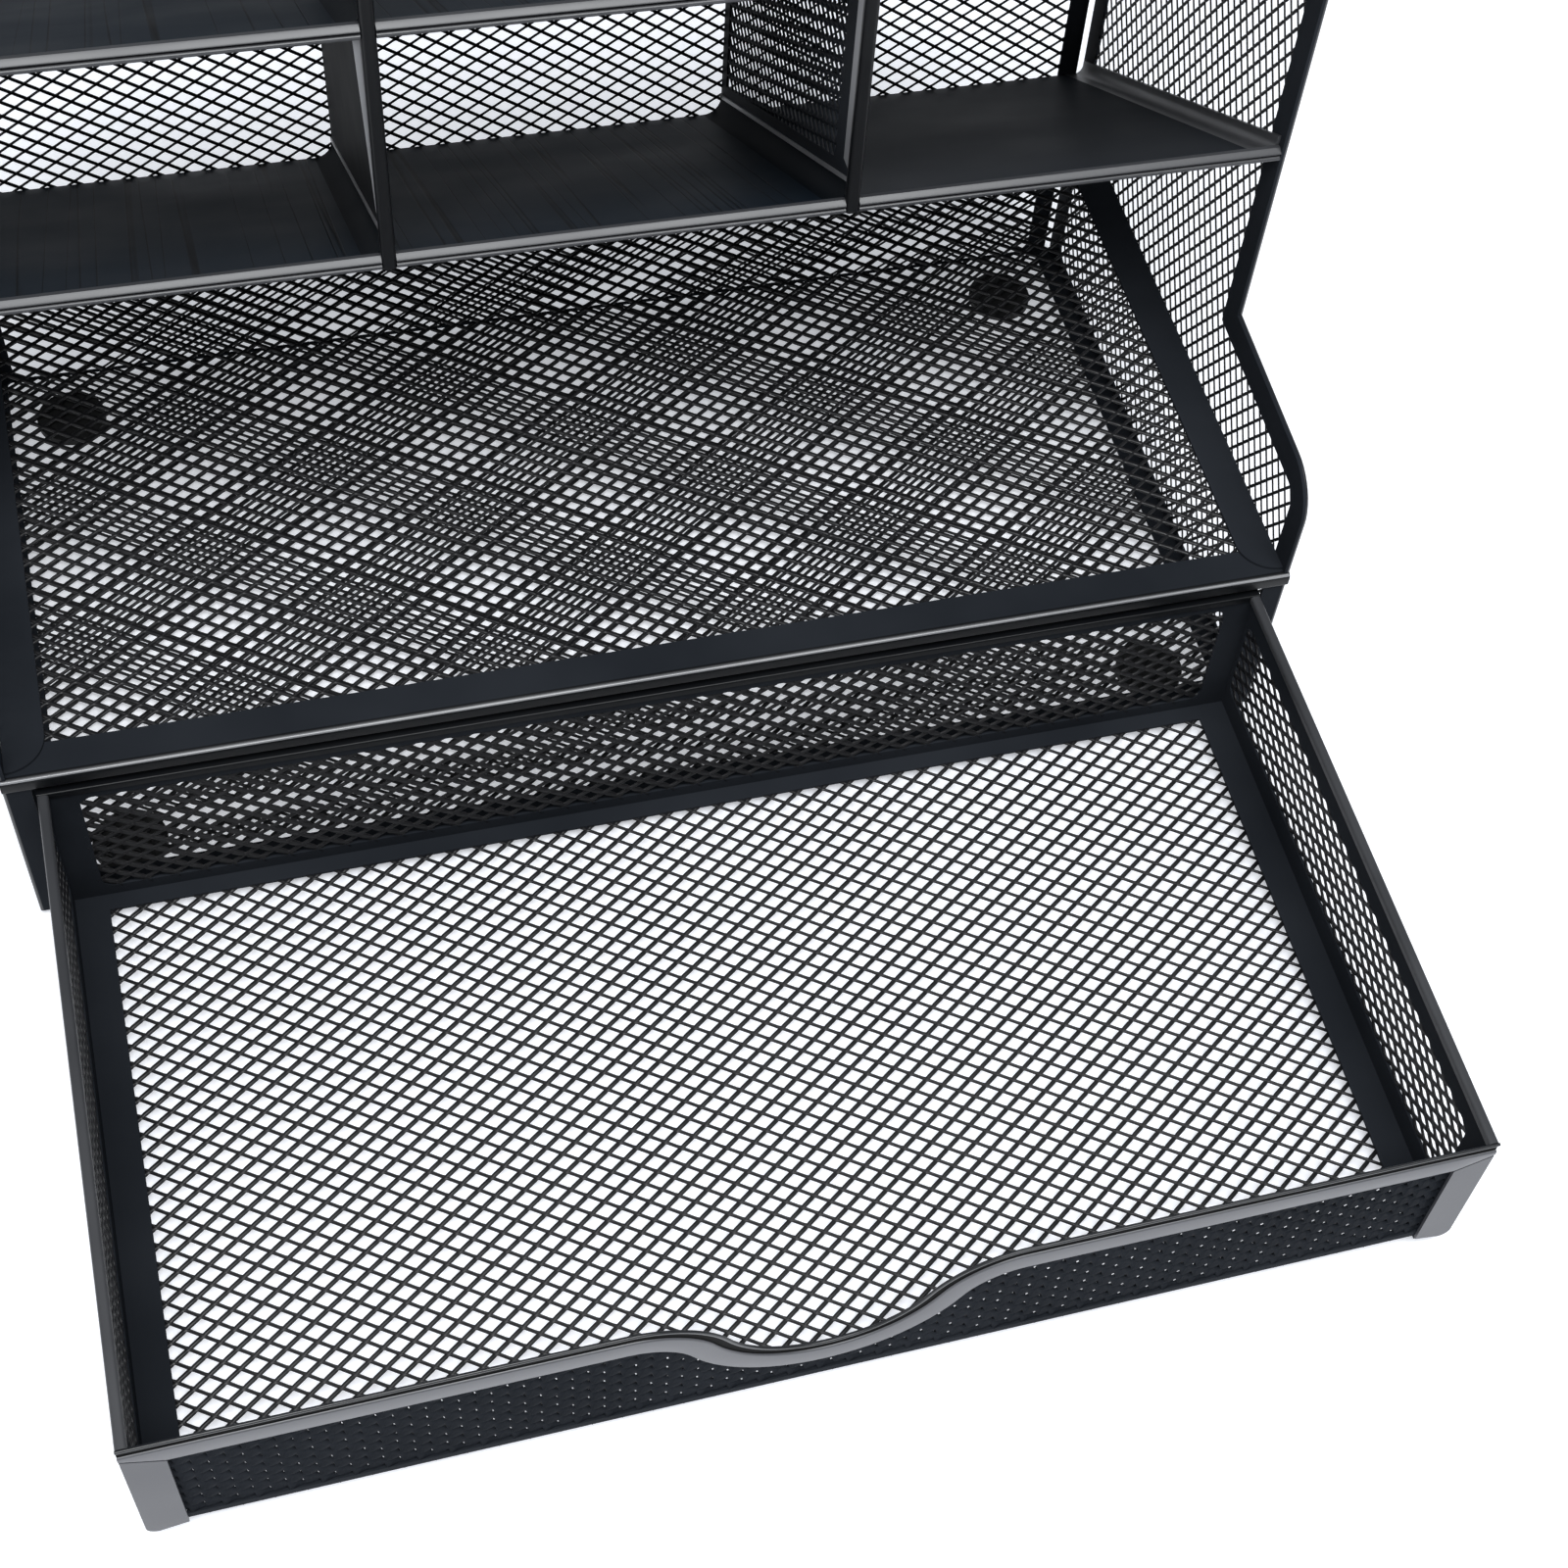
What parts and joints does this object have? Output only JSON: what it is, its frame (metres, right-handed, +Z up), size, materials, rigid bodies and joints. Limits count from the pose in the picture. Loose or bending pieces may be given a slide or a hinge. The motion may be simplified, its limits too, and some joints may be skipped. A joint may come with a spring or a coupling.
{
  "type": "mesh desk organizer",
  "caption": "Stepped desk organizer of folded steel mesh with an open tray, tilted cubbies above it and a wide drawer with a finger scoop.",
  "frame": {"origin": "on the surface the organizer stands on, under the middle of its outline seen from above with the drawer pulled out", "axes": "+Z up; +Y from the drawer's front to the back panel; +X to the right for someone facing the drawer"},
  "size_m": [0.33, 0.354, 0.286],
  "materials": {
    "mesh_steel": "expanded steel mesh with a smooth black satin powder coat",
    "sheet_steel": "plain steel sheet with a black satin powder coat",
    "edge_steel": "folded steel edges with a black satin powder coat that shines where it bends",
    "pads": "matt black anti-slip pads"
  },
  "bodies": {
    "frame": {"base_panel": "mesh_steel", "back_panel": "mesh_steel", "left_side_panel": "mesh_steel", "right_side_panel": "mesh_steel", "left_side_hem": "edge_steel", "right_side_hem": "edge_steel", "back_hem": "edge_steel", "left_front_post": "edge_steel", "right_front_post": "edge_steel", "tray_panel": "mesh_steel", "tray_front_lip": "edge_steel", "tray_left_strip": "sheet_steel", "tray_right_strip": "sheet_steel", "lower_shelf_left": "sheet_steel", "lower_shelf_middle": "sheet_steel", "lower_shelf_right": "sheet_steel", "upper_shelf_left": "sheet_steel", "upper_shelf_middle": "sheet_steel", "upper_shelf_right": "sheet_steel", "lower_lip_left": "edge_steel", "lower_lip_middle": "edge_steel", "lower_lip_right": "edge_steel", "upper_lip_left": "edge_steel", "upper_lip_middle": "edge_steel", "upper_lip_right": "edge_steel", "lower_divider_left": "mesh_steel", "lower_divider_right": "mesh_steel", "upper_divider_left": "mesh_steel", "upper_divider_right": "mesh_steel", "divider_roll_left": "edge_steel", "divider_roll_right": "edge_steel", "lower_flange": "sheet_steel", "upper_flange": "sheet_steel", "pad_front_left": "pads", "pad_front_right": "pads", "pad_back_left": "pads", "pad_back_right": "pads"},
    "drawer": {"drawer_floor": "mesh_steel", "drawer_left_wall": "mesh_steel", "drawer_right_wall": "mesh_steel", "drawer_back_wall": "mesh_steel", "drawer_front_panel": "mesh_steel", "drawer_front_rim": "edge_steel", "drawer_left_rim": "edge_steel", "drawer_right_rim": "edge_steel", "drawer_back_rim": "edge_steel", "drawer_left_post": "edge_steel", "drawer_right_post": "edge_steel"}
  },
  "joints": [
    {"name": "drawer_slide", "type": "slide", "parent": "frame", "child": "drawer", "axis": [0, 1, 0], "range_m": [0, 0.168]}
  ]
}
